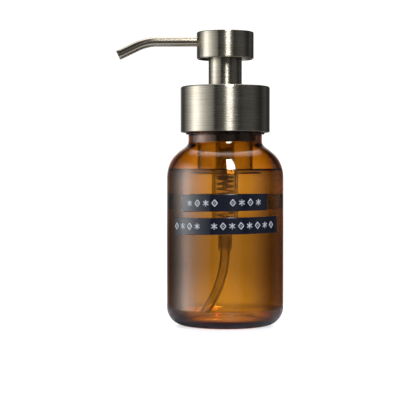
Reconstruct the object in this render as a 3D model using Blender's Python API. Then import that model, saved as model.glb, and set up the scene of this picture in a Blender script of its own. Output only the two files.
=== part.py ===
"""Foaming soap pump dispenser: an amber glass bottle, label tapes and a screw-on brass pump.

Run it with blender --background --python part.py, or from Blender's text editor.
+Z is up, the origin is the centre of the base, and the spout points towards -X.
Sizes are in millimetres here; place() turns every finished mesh into metres.
"""

import math

import bmesh
import bpy
from mathutils import Matrix, Vector

METRES_PER_MM = 0.001
WELD = 1e-4

# ---------------------------------------------------------------- clearances
SEAT_GAP = 0.3  # between two pieces, one of which rests on the other
SLIP_GAP = 0.2  # round a piece pushed into its socket
LIP_GAP = 0.12  # round a seal lip in its cylinder
THREAD_GAP = 0.3  # from a thread's crest to the wall that it faces
GUIDE_GAP = 0.45  # round the stem where the collar guides it

# -------------------------------------------------------------------- bottle
BODY_RADIUS = 32.5
BODY_WALL = 2.6
FLOOR_THICKNESS = 4.0
HEEL_RADIUS = 10.0
SHOULDER_START = 81.5
SHOULDER_HEIGHT = 20.5
NECK_BAND_HEIGHT = 3.7  # plain neck between the shoulder and the bead
BEAD_HEIGHT = 1.3
FINISH_HEIGHT = 14.5  # from the top of the bead to the rim
FINISH_RADIUS = 19.8
NECK_STEP = 0.75  # by which the plain neck is wider than the finish
BEAD_STEP = 2.2
NECK_WALL = 2.4
RIM_ROUNDING = 0.4
THREAD_PITCH = 4.23
THREAD_DEPTH = 1.2
THREAD_TURNS = 1.5
THREAD_TOP_INSET = 2.9  # from the rim down to the middle of the thread's upper end
THREAD_START = 3.75  # degrees: half a facet, which keeps the thread's edges off the wall's

# --------------------------------------------------------------- label tapes
TAPE_WIDTH = 9.0
TAPE_THICKNESS = 0.35
TAPE_GLUE_GAP = 0.2
UPPER_TAPE_CENTRE_HEIGHT = 68.6
LOWER_TAPE_CENTRE_HEIGHT = 56.2
BACK_TAPE_CENTRE_HEIGHT = 68.2
UPPER_TAPE_SPAN = (-45.0, 43.0)  # degrees from the front, towards +X
LOWER_TAPE_SPAN = (-56.0, 58.0)
BACK_TAPE_SPAN = (136.0, 224.0)
TAPE_TILT = 1.0  # degrees by which the hand-laid tapes climb towards +X

# -------------------------------------------------------------- pump housing
GASKET_THICKNESS = 0.9
FLANGE_THICKNESS = 1.2
FLANGE_INSET = 0.8  # from the wall of the closure
PUMP_NECK_GAP = 1.9  # from the air cylinder to the bore of the neck
PLUG_NECK_GAP = 0.35  # from the neck plug to the bore
PLUG_LENGTH = 21.0
AIR_CYLINDER_LENGTH = 38.8
AIR_WALL = 1.2
LIQUID_BORE = 4.2
LIQUID_WALL = 1.2
LIQUID_CYLINDER_DROP = 27.0  # from the air cylinder's floor to the start of the taper
TAPER_LENGTH = 5.0
STUB_LENGTH = 10.0
STUB_WALL = 0.725
STUB_GRIP_GAP = 0.15  # round the dip tube
TUBE_STOP_DROP = 1.5  # of the dip tube's stop below the taper
SEAT_HOLE_LENGTH = 2.1
CHAMBER_STEP = 1.6  # by which the ball chamber is narrower than the liquid bore
BALL_FLOW_GAP = 0.6
BALL_SEAT_SLOPE = 47.0  # degrees from level
BALL_LIFT_ROOM = 1.2
BALL_SEAT_GAP = 0.1
CAGE_THICKNESS = 0.9
CAGE_HOLE_SHARE = 0.75  # of the ball's radius
CAGE_RIM = 1.0

# ------------------------------------------------------------------ dip tube
TUBE_RADIUS = 2.0
TUBE_BORE = 1.3
TUBE_FLOOR_GAP = 3.5
TUBE_SIDE_REACH = 8.3  # how far the free end curls towards -X

# ------------------------------------------------------ spring, pistons, rod
STROKE = 14.0
WIRE_RADIUS = 0.4
SPRING_WALL_GAP = 0.55
SPRING_ACTIVE_TURNS = 7.5
SPRING_CLOSED_PITCH = 0.9
SPRING_LENGTH = 24.2
ROD_BORE_GAP = 0.4
ROD_WALL = 0.8
PISTON_NECK_LENGTH = 8.0
PISTON_NECK_WALL = 1.0
PISTON_LIP_HEIGHT = 1.0
PISTON_BODY_HEIGHT = 6.0
VALVE_FLOW_GAP = 0.73
VALVE_STEM_DROP = 7.6  # below the liquid piston
VALVE_HEAD_RIM = 0.7
VALVE_HEAD_INSET = 0.5  # from the rod's bore to the valve's head
VALVE_SEAT_DEPTH = 1.2
VALVE_SEAT_FLARE = 0.6
AIR_PISTON_HEIGHT = 13.9
AIR_PISTON_HUB_WALL = 1.2
AIR_PISTON_SKIRT_WALL = 0.8
AIR_PISTON_WEB_HEIGHT = 7.0  # web's underside above the skirt's lower edge
AIR_PISTON_WEB_THICKNESS = 1.0
AIR_PISTON_HUB_SPAN = (4.6, 11.0)  # above the skirt's lower edge
AIR_LIP_HEIGHT = 0.8
AIR_HOLE_RADIUS = 0.9
AIR_HOLE_COUNT = 6
CHECK_DISC_THICKNESS = 0.3
LOST_MOTION = 1.2  # between the air piston's hub and the shoulder on the rod

# ------------------------------------------------------- foam mesh cartridge
CARTRIDGE_RADIUS = 5.0
CARTRIDGE_WALL = 0.8
CARTRIDGE_LENGTH = 10.0
ROD_CUP_HEIGHT = 5.4
ROD_CUP_FLOOR = 1.4
NET_THICKNESS = 0.25
NET_HOLE_PITCH = 1.6
NET_HOLE_SIDE = 0.95
NET_HOLES_PER_SIDE = 4
NET_STACK_GAP = 0.2

# -------------------------------------------------------------------- collar
CLOSURE_WALL = 1.5
CLOSURE_RIB_DEPTH = 1.2
CLOSURE_RIB_HEIGHT = 1.2
CLOSURE_PANEL = 1.6
CLOSURE_THREAD_TURNS = 1.25
CLOSURE_THREAD_DEPTH = 1.0
CHIMNEY_WALL = 1.25
SHELL_WALL = 0.6
SHELL_TOP_RISE = 6.6  # from the closure's panel to the top of the shell
SHELL_ROUNDING = 1.0
SHELL_SKIRT_DROP = 0.4  # by which the shell hangs below the closure
BEAD_TO_COLLAR = 0.5

# ------------------------------------------------------- head, stem and spout
HEAD_RADIUS = 15.9
HEAD_HEIGHT = 14.9
HEAD_WALL = 0.7
HEAD_ROUNDING = 0.6
HEAD_STOP_GAP = 1.3  # left over the collar at full stroke
CORE_RECESS = 1.2  # of the plastic core above the shell's lower edge
HUB_WALL = 1.2
STEM_RADIUS = 9.3
STEM_WALL = 0.6
STEM_OVERLAP = 2.9  # by which the stem reaches into the collar
STEM_SOCKET = 3.9
CHANNEL_RADIUS = 2.0
RISER_RADIUS = 2.2
SPOUT_DROP_FROM_TOP = 5.2  # of the spout's axis below the head's top
SPOUT_RADIUS = 2.75
SPOUT_WALL = 0.8
SPOUT_REACH = 59.6  # from the pump's axis to the middle of the tip
SPOUT_BEND_RADIUS = 26.0
SPOUT_BEND_ANGLE = 25.5
SPOUT_TIP_LENGTH = 11.6
SPOUT_SOCKET_DEPTH = 6.9
SEAL_THICKNESS = 0.7

# --------------------------------------------------------- facets of a circle
BIG_STEPS = 48
MIDDLE_STEPS = 32
SMALL_STEPS = 24
WIRE_STEPS_PER_TURN = 12
WIRE_SIDES = 6

# ------------------------------------------- heights and radii that follow on
BEAD_BOTTOM = SHOULDER_START + SHOULDER_HEIGHT + NECK_BAND_HEIGHT
BEAD_TOP = BEAD_BOTTOM + BEAD_HEIGHT
RIM = BEAD_TOP + FINISH_HEIGHT
NECK_BORE = FINISH_RADIUS - NECK_WALL
THREAD_CREST = FINISH_RADIUS + THREAD_DEPTH

FLANGE_BOTTOM = RIM + GASKET_THICKNESS + 2 * SLIP_GAP
FLANGE_TOP = FLANGE_BOTTOM + FLANGE_THICKNESS
CLOSURE_BORE = THREAD_CREST + THREAD_GAP
FLANGE_RADIUS = CLOSURE_BORE - FLANGE_INSET
AIR_OUTER = NECK_BORE - PUMP_NECK_GAP
AIR_BORE = AIR_OUTER - AIR_WALL
AIR_BOTTOM = FLANGE_BOTTOM - AIR_CYLINDER_LENGTH
AIR_FLOOR = AIR_BOTTOM + AIR_WALL
LIQUID_OUTER = LIQUID_BORE + LIQUID_WALL
TAPER_TOP = AIR_BOTTOM - LIQUID_CYLINDER_DROP
TAPER_BOTTOM = TAPER_TOP - TAPER_LENGTH
STUB_BOTTOM = TAPER_BOTTOM - STUB_LENGTH
STUB_BORE = TUBE_RADIUS + STUB_GRIP_GAP
STUB_OUTER = STUB_BORE + STUB_WALL
TUBE_SHOULDER = TAPER_BOTTOM - TUBE_STOP_DROP
SEAT_BOTTOM = TUBE_SHOULDER + SEAT_HOLE_LENGTH
CHAMBER_RADIUS = LIQUID_BORE - CHAMBER_STEP
BALL_RADIUS = CHAMBER_RADIUS - BALL_FLOW_GAP
SEAT_SLOPE = math.radians(BALL_SEAT_SLOPE)
SEAT_TOP = SEAT_BOTTOM + (CHAMBER_RADIUS - TUBE_BORE) * math.tan(SEAT_SLOPE)
SEATED_BALL = BALL_RADIUS + BALL_SEAT_GAP
BALL_HEIGHT = SEAT_BOTTOM + (SEATED_BALL - TUBE_BORE * math.sin(SEAT_SLOPE)) / math.cos(SEAT_SLOPE)
CAGE_BOTTOM = BALL_HEIGHT + BALL_RADIUS + BALL_LIFT_ROOM
LIQUID_FLOOR = CAGE_BOTTOM - SEAT_GAP
SPRING_BOTTOM = CAGE_BOTTOM + CAGE_THICKNESS + SLIP_GAP
SPRING_TOP = SPRING_BOTTOM + SPRING_LENGTH
SPRING_RADIUS = LIQUID_BORE - SPRING_WALL_GAP - WIRE_RADIUS

PISTON_BOTTOM = SPRING_TOP + SEAT_GAP
PISTON_SHOULDER = PISTON_BOTTOM + PISTON_BODY_HEIGHT
PISTON_TOP = PISTON_SHOULDER + PISTON_NECK_LENGTH
ROD_OUTER = LIQUID_BORE - ROD_BORE_GAP
ROD_BORE = ROD_OUTER - ROD_WALL
PISTON_NECK = ROD_BORE - 0.1
PISTON_BORE = PISTON_NECK - PISTON_NECK_WALL
VALVE_STEM_RADIUS = PISTON_BORE - VALVE_FLOW_GAP
AIR_PISTON_TOP = FLANGE_TOP - 0.1
AIR_PISTON_BOTTOM = AIR_PISTON_TOP - AIR_PISTON_HEIGHT
AIR_HUB_BOTTOM = AIR_PISTON_BOTTOM + AIR_PISTON_HUB_SPAN[0]
AIR_HUB_TOP = AIR_PISTON_BOTTOM + AIR_PISTON_HUB_SPAN[1]
AIR_HUB_BORE = ROD_OUTER + SLIP_GAP
AIR_HUB_OUTER = AIR_HUB_BORE + AIR_PISTON_HUB_WALL
AIR_LIP = AIR_BORE - LIP_GAP
AIR_SKIRT_OUTER = AIR_LIP - 0.4
AIR_SKIRT_INNER = AIR_SKIRT_OUTER - AIR_PISTON_SKIRT_WALL
WEB_BOTTOM = AIR_PISTON_BOTTOM + AIR_PISTON_WEB_HEIGHT
WEB_TOP = WEB_BOTTOM + AIR_PISTON_WEB_THICKNESS
LIQUID_CYLINDER_TOP = AIR_HUB_BOTTOM - STROKE - 0.6

ROD_BOTTOM = PISTON_SHOULDER + SEAT_GAP
ROD_CUP_BOTTOM = AIR_HUB_TOP + LOST_MOTION
ROD_TOP = ROD_CUP_BOTTOM + ROD_CUP_HEIGHT
COARSE_NET_BOTTOM = ROD_TOP + NET_STACK_GAP
HOLDER_BOTTOM = COARSE_NET_BOTTOM + NET_THICKNESS + NET_STACK_GAP
HOLDER_TOP = HOLDER_BOTTOM + CARTRIDGE_LENGTH
FINE_NET_BOTTOM = HOLDER_TOP + NET_STACK_GAP
CARTRIDGE_SHOULDER = FINE_NET_BOTTOM + NET_THICKNESS + NET_STACK_GAP

CLOSURE_BOTTOM = BEAD_TOP + BEAD_TO_COLLAR
PANEL_BOTTOM = FLANGE_TOP + SEAT_GAP
PANEL_TOP = PANEL_BOTTOM + CLOSURE_PANEL
CLOSURE_OUTER = CLOSURE_BORE + CLOSURE_WALL
CLOSURE_RIB = CLOSURE_OUTER + CLOSURE_RIB_DEPTH
SHELL_INNER = CLOSURE_RIB + SEAT_GAP
SHELL_OUTER = SHELL_INNER + SHELL_WALL
SHELL_TOP = PANEL_TOP + SHELL_TOP_RISE
CLOSURE_TOP = SHELL_TOP - SHELL_WALL - SEAT_GAP
SHELL_BOTTOM = CLOSURE_BOTTOM - SHELL_SKIRT_DROP
CHIMNEY_BORE = STEM_RADIUS + GUIDE_GAP

HEAD_BOTTOM = SHELL_TOP + STROKE + HEAD_STOP_GAP
HEAD_TOP = HEAD_BOTTOM + HEAD_HEIGHT
HEAD_INNER = HEAD_RADIUS - HEAD_WALL
CORE_RADIUS = HEAD_INNER - SEAT_GAP
CORE_BOTTOM = HEAD_BOTTOM + CORE_RECESS
CORE_TOP = HEAD_TOP - HEAD_WALL - SEAT_GAP
HUB_BORE = CARTRIDGE_RADIUS + SLIP_GAP
HUB_OUTER = HUB_BORE + HUB_WALL
HUB_BOTTOM = ROD_CUP_BOTTOM - 0.2
STEM_INNER = STEM_RADIUS - STEM_WALL
STEM_BOTTOM = SHELL_TOP - STEM_OVERLAP
STEM_TOP = CORE_BOTTOM + STEM_SOCKET - SEAT_GAP
SPOUT_HEIGHT = HEAD_TOP - SPOUT_DROP_FROM_TOP
SPOUT_SOCKET_RADIUS = SPOUT_RADIUS + SLIP_GAP
SOCKET_FACE = CORE_RADIUS - SPOUT_SOCKET_DEPTH
SEAL_FACE = SOCKET_FACE + SLIP_GAP
SPOUT_ROOT = SEAL_FACE + SEAL_THICKNESS + SLIP_GAP


# ------------------------------------------------------------------ materials
def material(name, colour, roughness, metallic=0.0, transmission=0.0, ior=1.45):
    """A plain Principled finish."""
    made = bpy.data.materials.new(name)
    made.use_nodes = True
    made.diffuse_color = (*colour, 1.0)
    shader = made.node_tree.nodes["Principled BSDF"]
    shader.inputs["Base Color"].default_value = (*colour, 1.0)
    shader.inputs["Roughness"].default_value = roughness
    shader.inputs["Metallic"].default_value = metallic
    shader.inputs["Transmission Weight"].default_value = transmission
    shader.inputs["IOR"].default_value = ior
    return made


def make_materials():
    """Every finish on the dispenser, by name."""
    return {
        "amber_glass": material("amber_glass", (0.45, 0.16, 0.02), 0.03, transmission=0.9, ior=1.52),
        "label_tape": material("label_tape", (0.012, 0.013, 0.022), 0.25),
        "antique_brass": material("antique_brass", (0.34, 0.30, 0.23), 0.3, metallic=1.0),
        "black_plastic": material("black_plastic", (0.015, 0.015, 0.016), 0.4),
        "natural_plastic": material("natural_plastic", (0.80, 0.80, 0.76), 0.35, transmission=0.3),
        "seal_rubber": material("seal_rubber", (0.55, 0.54, 0.50), 0.6),
        "spring_steel": material("spring_steel", (0.62, 0.62, 0.62), 0.25, metallic=1.0),
        "nylon_net": material("nylon_net", (0.85, 0.85, 0.83), 0.5),
    }


# -------------------------------------------------------------- shape helpers
def arc(centre, radius, start, end, steps):
    """Points round a centre in the (radius, height) plane, from one angle to another in degrees."""
    angles = [math.radians(start + (end - start) * i / steps) for i in range(steps + 1)]
    return [(centre[0] + radius * math.cos(a), centre[1] + radius * math.sin(a)) for a in angles]


def bezier(p0, p1, p2, p3, steps):
    """Points along a cubic curve, both ends included."""
    points = []
    for i in range(steps + 1):
        t = i / steps
        weights = ((1 - t) ** 3, 3 * t * (1 - t) ** 2, 3 * t * t * (1 - t), t**3)
        points.append(tuple(sum(w * p[k] for w, p in zip(weights, (p0, p1, p2, p3))) for k in (0, 1)))
    return points


def turned(outline, steps):
    """A solid of revolution about Z. An outline whose ends both lie on the axis is left open there."""
    mesh = bmesh.new()
    points = [mesh.verts.new((radius, 0.0, height)) for radius, height in outline]
    pairs = list(zip(points, points[1:]))
    if outline[0][0] > 0 or outline[-1][0] > 0:
        pairs.append((points[-1], points[0]))
    edges = [mesh.edges.new(pair) for pair in pairs]
    bmesh.ops.spin(
        mesh,
        geom=points + edges,
        cent=(0, 0, 0),
        axis=(0, 0, 1),
        angle=math.tau,
        steps=steps,
        use_merge=True,
    )
    return tidied(mesh)


def tidied(mesh):
    """The mesh with coincident points made one and its faces turned outwards."""
    bmesh.ops.remove_doubles(mesh, verts=mesh.verts, dist=WELD)
    bmesh.ops.recalc_face_normals(mesh, faces=mesh.faces)
    return mesh


def skin(mesh, loops):
    """Faces between each loop of points and the next."""
    for near, far in zip(loops, loops[1:]):
        for i in range(len(near)):
            j = (i + 1) % len(near)
            mesh.faces.new((near[i], near[j], far[j], far[i]))


def lofted(rings):
    """A solid through rings of points, with a flat face at each end."""
    mesh = bmesh.new()
    loops = [[mesh.verts.new(point) for point in ring] for ring in rings]
    skin(mesh, loops)
    mesh.faces.new(loops[0])
    mesh.faces.new(loops[-1])
    return tidied(mesh)


def ring_round(centre, side, radius, sides):
    """Points round a centre, in the plane of the vector side and Y."""
    turns = [math.tau * i / sides for i in range(sides)]
    return [centre + radius * (math.cos(a) * side + math.sin(a) * Vector((0, 1, 0))) for a in turns]


def piped(stations, outer, inner, sides):
    """A hollow tube through (centre, side vector) stations."""
    mesh = bmesh.new()
    walls = []
    for radius in (outer, inner):
        rings = [ring_round(centre, side, radius, sides) for centre, side in stations]
        loops = [[mesh.verts.new(point) for point in ring] for ring in rings]
        skin(mesh, loops)
        walls.append(loops)
    for end in (0, -1):
        skin(mesh, [walls[0][end], walls[1][end]])
    return tidied(mesh)


def helical(section, pitch, turns, start_degrees, start_height, steps_per_turn, fade):
    """A ridge that climbs round Z. section(depth) gives its (radius, height) points, and depth fades
    from 0 to 1 over the given share of a turn at each end."""
    count = round(turns * steps_per_turn)
    rings = []
    for i in range(count + 1):
        turned_by = i / steps_per_turn
        depth = min(1.0, turned_by / fade, (turns - turned_by) / fade)
        angle = math.radians(start_degrees) + math.tau * turned_by
        rise = start_height + pitch * turned_by
        rings.append(
            [(r * math.cos(angle), r * math.sin(angle), rise + h) for r, h in section(max(depth, 0.0))]
        )
    return lofted(rings)


def cylinder_along_x(x_from, x_to, height, radius, sides):
    """A solid rod along X at the given height, for a cut."""
    stations = [(Vector((x, 0, height)), Vector((0, 0, 1))) for x in (x_from, x_to)]
    return lofted([ring_round(centre, side, radius, sides) for centre, side in stations])


def joined(shapes):
    """Several separate shapes in one mesh."""
    whole = bmesh.new()
    for shape in shapes:
        part = bpy.data.meshes.new("part")
        shape.to_mesh(part)
        shape.free()
        whole.from_mesh(part)
        bpy.data.meshes.remove(part)
    return whole


# ------------------------------------------------------------- object helpers
def empty(name, height, parent=None):
    """An empty on the pump's axis, which a moving group hangs from."""
    made = bpy.data.objects.new(name, None)
    made.empty_display_size = 8 * METRES_PER_MM
    bpy.context.scene.collection.objects.link(made)
    made.parent = parent
    below = parent["height"] if parent else 0.0
    made.location = (0, 0, (height - below) * METRES_PER_MM)
    made["height"] = height
    return made


def place(name, shape, finish, parent=None, smooth_angle=32.0):
    """Makes an object from a mesh in millimetres. Its origin is its parent's, on the joint's axis."""
    height = parent["height"] if parent else 0.0
    shape.transform(Matrix.Scale(METRES_PER_MM, 4) @ Matrix.Translation((0, 0, -height)))
    mesh = bpy.data.meshes.new(name)
    shape.to_mesh(mesh)
    shape.free()
    mesh.shade_smooth()
    mesh.set_sharp_from_angle(angle=math.radians(smooth_angle))
    if finish:
        mesh.materials.append(finish)
    made = bpy.data.objects.new(name, mesh)
    bpy.context.scene.collection.objects.link(made)
    made.parent = parent
    return made


def combine(target, name, shape, operation):
    """Joins a helper shape to the target, or cuts it away, with an exact Boolean."""
    helper = place(name, shape, None, target.parent)
    helper.hide_render = True
    helper.display_type = "WIRE"
    modifier = target.modifiers.new(name, "BOOLEAN")
    modifier.operation = operation
    modifier.solver = "EXACT"
    modifier.object = helper


# --------------------------------------------------------------------- bottle
def shoulder_curve(body, neck, start, height, steps):
    """The bottle's shoulder from body radius to neck radius: a round crown and a small fillet."""

    def at(inwards, up):
        return (body + (neck - body) * inwards, start + height * up)

    crown = bezier(at(0, 0), at(0, 0.44), at(0.35, 0.652), at(0.7615, 0.8195), steps)
    fillet = bezier(at(0.7615, 0.8195), at(0.887, 0.873), at(1, 0.922), at(1, 1), max(2, steps // 2))
    return crown + fillet[1:]


def bottle_outline():
    inner_body = BODY_RADIUS - BODY_WALL
    inner_heel = HEEL_RADIUS - 0.8 * BODY_WALL
    shoulder_end = SHOULDER_START + SHOULDER_HEIGHT
    neck = FINISH_RADIUS + NECK_STEP
    bead = FINISH_RADIUS + BEAD_STEP
    outside = [(0, 0)]
    outside += arc((BODY_RADIUS - HEEL_RADIUS, HEEL_RADIUS), HEEL_RADIUS, -90, 0, 5)
    outside += shoulder_curve(BODY_RADIUS, neck, SHOULDER_START, SHOULDER_HEIGHT, 6)
    outside += [
        (neck, BEAD_BOTTOM - 0.2),
        (bead, BEAD_BOTTOM + 0.3),
        (bead, BEAD_TOP - 0.3),
        (FINISH_RADIUS, BEAD_TOP),
        (FINISH_RADIUS, RIM - RIM_ROUNDING),
        (FINISH_RADIUS - RIM_ROUNDING, RIM),
    ]
    inside = [
        (NECK_BORE + RIM_ROUNDING, RIM),
        (NECK_BORE, RIM - RIM_ROUNDING),
    ]
    inside += shoulder_curve(
        inner_body, NECK_BORE, SHOULDER_START - 1.5, shoulder_end - 1.0 - (SHOULDER_START - 1.5), 6
    )[::-1]
    heel_centre = (inner_body - inner_heel, FLOOR_THICKNESS + inner_heel)
    inside += arc(heel_centre, inner_heel, 0, -90, 4)
    inside += [(0, FLOOR_THICKNESS)]
    return outside + inside


def thread_ridge(root, crest, half_root, half_crest, **path):
    """A thread as a trapezoid swept up a helix, sunk into its wall and fading out at both ends."""

    def section(depth):
        tip = root + (crest - root) * (0.2 + 0.8 * depth)
        return [(root, -half_root), (tip, -half_crest), (tip, half_crest), (root, half_root)]

    return helical(section, steps_per_turn=BIG_STEPS, fade=0.09, **path)


def add_bottle(finish):
    bottle = place("bottle", turned(bottle_outline(), BIG_STEPS), finish["amber_glass"])
    sunk = FINISH_RADIUS - 0.4
    ridge = thread_ridge(
        sunk,
        THREAD_CREST,
        1.3,
        0.6,
        pitch=THREAD_PITCH,
        turns=THREAD_TURNS,
        start_degrees=THREAD_START,
        start_height=RIM - THREAD_TOP_INSET - THREAD_TURNS * THREAD_PITCH,
    )
    combine(bottle, "bottle_thread", ridge, "UNION")


# ----------------------------------------------------------------- label tapes
def tape_strip(inner, centre_height, span, tilt, steps):
    """A strip of tape bent round the bottle. Its angles are counted from the front, -Y, towards +X."""
    rise = math.tan(math.radians(tilt))
    half = TAPE_WIDTH / 2
    outer = inner + TAPE_THICKNESS
    rings = []
    for i in range(steps + 1):
        angle = math.radians(span[0] + (span[1] - span[0]) * i / steps)
        along = (math.sin(angle), -math.cos(angle))
        ring = []
        for radius, height in ((inner, -half), (outer, -half), (outer, half), (inner, half)):
            x = radius * along[0]
            ring.append((x, radius * along[1], centre_height + height + rise * x))
        rings.append(ring)
    return lofted(rings)


def add_label_tapes(finish):
    inner = BODY_RADIUS + TAPE_GLUE_GAP
    rows = (
        ("label_tape_upper", UPPER_TAPE_CENTRE_HEIGHT, UPPER_TAPE_SPAN, TAPE_TILT, 14),
        ("label_tape_lower", LOWER_TAPE_CENTRE_HEIGHT, LOWER_TAPE_SPAN, TAPE_TILT, 20),
        ("label_tape_back", BACK_TAPE_CENTRE_HEIGHT, BACK_TAPE_SPAN, 0.0, 14),
    )
    for name, centre_height, span, tilt, steps in rows:
        strip = tape_strip(inner, centre_height, span, tilt, steps)
        place(name, strip, finish["label_tape"])


# -------------------------------------------------------------------- pump unit
def add_neck_gasket(finish, gasket_group):
    bottom = RIM + SLIP_GAP
    inner = NECK_BORE + SLIP_GAP
    outer = FLANGE_RADIUS - SLIP_GAP
    top = bottom + GASKET_THICKNESS
    ring = [(inner, bottom), (outer, bottom), (outer, top), (inner, top)]
    place("neck_gasket", turned(ring, BIG_STEPS), finish["seal_rubber"], gasket_group)


def add_neck_plug(finish, unit):
    """The dark sleeve round the air cylinder that centres the pump in the neck."""
    inner = AIR_OUTER + SLIP_GAP
    outer = NECK_BORE - PLUG_NECK_GAP
    top = FLANGE_BOTTOM - SEAT_GAP
    bottom = top - PLUG_LENGTH
    ring = [(inner, bottom), (outer - 0.5, bottom), (outer, bottom + 1.0), (outer, top), (inner, top)]
    place("neck_plug", turned(ring, MIDDLE_STEPS), finish["black_plastic"], unit)


def add_pump_housing(finish, unit):
    outline = [
        (AIR_BORE, FLANGE_TOP),
        (FLANGE_RADIUS, FLANGE_TOP),
        (FLANGE_RADIUS, FLANGE_BOTTOM),
        (AIR_OUTER, FLANGE_BOTTOM),
        (AIR_OUTER, AIR_BOTTOM + 0.6),
        (AIR_OUTER - 0.6, AIR_BOTTOM),
        (LIQUID_OUTER, AIR_BOTTOM),
        (LIQUID_OUTER, TAPER_TOP),
        (STUB_OUTER, TAPER_BOTTOM),
        (STUB_OUTER, STUB_BOTTOM),
        (STUB_BORE, STUB_BOTTOM),
        (STUB_BORE, TUBE_SHOULDER),
        (TUBE_BORE, TUBE_SHOULDER),
        (TUBE_BORE, SEAT_BOTTOM),
        (CHAMBER_RADIUS, SEAT_TOP),
        (CHAMBER_RADIUS, LIQUID_FLOOR),
        (LIQUID_BORE, LIQUID_FLOOR),
        (LIQUID_BORE, LIQUID_CYLINDER_TOP),
        (LIQUID_OUTER, LIQUID_CYLINDER_TOP),
        (LIQUID_OUTER, AIR_FLOOR),
        (AIR_BORE, AIR_FLOOR),
    ]
    place("pump_housing", turned(outline, MIDDLE_STEPS), finish["natural_plastic"], unit)


def add_dip_tube(finish, unit):
    """A soft tube that leaves the stub straight and curls aside. Its lower end is cut level."""
    top = TUBE_SHOULDER - SEAT_GAP
    bottom = FLOOR_THICKNESS + TUBE_FLOOR_GAP
    free_length = STUB_BOTTOM - bottom
    stations = [(Vector((0, 0, top)), Vector((1, 0, 0)))]
    steps = 12
    for i in range(steps + 1):
        share = i / steps
        centre = Vector((-TUBE_SIDE_REACH * share**2, 0, STUB_BOTTOM - free_length * share))
        lean = math.atan(2 * TUBE_SIDE_REACH * share / free_length)
        side = Vector((math.cos(lean), 0, -math.sin(lean)))
        if i == steps:
            side = Vector((1 / math.cos(lean), 0, 0))
        stations.append((centre, side))
    place("dip_tube", piped(stations, TUBE_RADIUS, TUBE_BORE, 12), finish["natural_plastic"], unit)


def add_ball_cage(finish, unit):
    """A ring that stops the ball, with three notches that let the liquid past it."""
    hole = CAGE_HOLE_SHARE * BALL_RADIUS
    rim = LIQUID_BORE - SLIP_GAP
    notch = rim - CAGE_RIM
    outline = [
        (hole, CAGE_BOTTOM),
        (rim, CAGE_BOTTOM),
        (rim, CAGE_BOTTOM + CAGE_THICKNESS),
        (hole, CAGE_BOTTOM + CAGE_THICKNESS),
    ]
    cage = turned(outline, SMALL_STEPS)
    for vertex in cage.verts:
        radius = math.hypot(vertex.co.x, vertex.co.y)
        step = round(math.atan2(vertex.co.y, vertex.co.x) / math.tau * SMALL_STEPS) % (SMALL_STEPS // 3)
        if radius < hole + 0.1 and step in (0, 1):
            vertex.co.x *= notch / radius
            vertex.co.y *= notch / radius
    place("inlet_ball_cage", cage, finish["natural_plastic"], unit)


def add_inlet_ball(finish, ball_group):
    side = arc((0, BALL_HEIGHT), BALL_RADIUS, -70, 70, 7)
    outline = [(0, BALL_HEIGHT - BALL_RADIUS)] + side + [(0, BALL_HEIGHT + BALL_RADIUS)]
    place("inlet_ball", turned(outline, 16), finish["spring_steel"], ball_group, smooth_angle=60)


def add_return_spring(finish, unit):
    """An open coil with one closed turn at each end."""
    run = SPRING_LENGTH - 2 * WIRE_RADIUS
    open_pitch = (run - 2 * SPRING_CLOSED_PITCH) / SPRING_ACTIVE_TURNS
    turns = SPRING_ACTIVE_TURNS + 2
    rings = []
    for i in range(round(turns * WIRE_STEPS_PER_TURN) + 1):
        turned_by = i / WIRE_STEPS_PER_TURN
        opened = min(max(turned_by - 1, 0), SPRING_ACTIVE_TURNS)
        rise = opened * open_pitch + (turned_by - opened) * SPRING_CLOSED_PITCH
        angle = math.tau * turned_by
        outwards = Vector((math.cos(angle), math.sin(angle), 0))
        upwards = Vector((0, 0, 1))
        centre = SPRING_RADIUS * outwards + (SPRING_BOTTOM + WIRE_RADIUS + rise) * upwards
        sides = [math.tau * k / WIRE_SIDES for k in range(WIRE_SIDES)]
        rings.append([centre + WIRE_RADIUS * (math.cos(a) * outwards + math.sin(a) * upwards) for a in sides])
    place("return_spring", lofted(rings), finish["spring_steel"], unit, smooth_angle=80)


# ---------------------------------------------------------------------- collar
def add_closure(finish, collar):
    outline = [
        (CLOSURE_BORE, CLOSURE_BOTTOM),
        (CLOSURE_RIB, CLOSURE_BOTTOM),
        (CLOSURE_RIB, CLOSURE_BOTTOM + CLOSURE_RIB_HEIGHT),
        (CLOSURE_OUTER, CLOSURE_BOTTOM + CLOSURE_RIB_HEIGHT + 0.2),
        (CLOSURE_OUTER, CLOSURE_TOP - CLOSURE_RIB_HEIGHT - 0.2),
        (CLOSURE_RIB, CLOSURE_TOP - CLOSURE_RIB_HEIGHT),
        (CLOSURE_RIB, CLOSURE_TOP),
        (CLOSURE_OUTER - CLOSURE_PANEL, CLOSURE_TOP),
        (CLOSURE_OUTER - CLOSURE_PANEL, PANEL_TOP),
        (CHIMNEY_BORE + CHIMNEY_WALL, PANEL_TOP),
        (CHIMNEY_BORE + CHIMNEY_WALL, CLOSURE_TOP),
        (CHIMNEY_BORE, CLOSURE_TOP),
        (CHIMNEY_BORE, PANEL_BOTTOM),
        (CLOSURE_BORE, PANEL_BOTTOM),
    ]
    closure = place("closure_cap", turned(outline, BIG_STEPS), finish["black_plastic"], collar)
    bottle_start = RIM - THREAD_TOP_INSET - THREAD_TURNS * THREAD_PITCH
    shared = THREAD_TURNS - CLOSURE_THREAD_TURNS
    ridge = thread_ridge(
        CLOSURE_BORE + 0.4,
        CLOSURE_BORE - CLOSURE_THREAD_DEPTH,
        0.9,
        0.4,
        pitch=THREAD_PITCH,
        turns=CLOSURE_THREAD_TURNS,
        start_degrees=THREAD_START + 360 * shared,
        start_height=bottle_start + (shared - 0.5) * THREAD_PITCH,
    )
    combine(closure, "closure_thread", ridge, "UNION")


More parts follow.
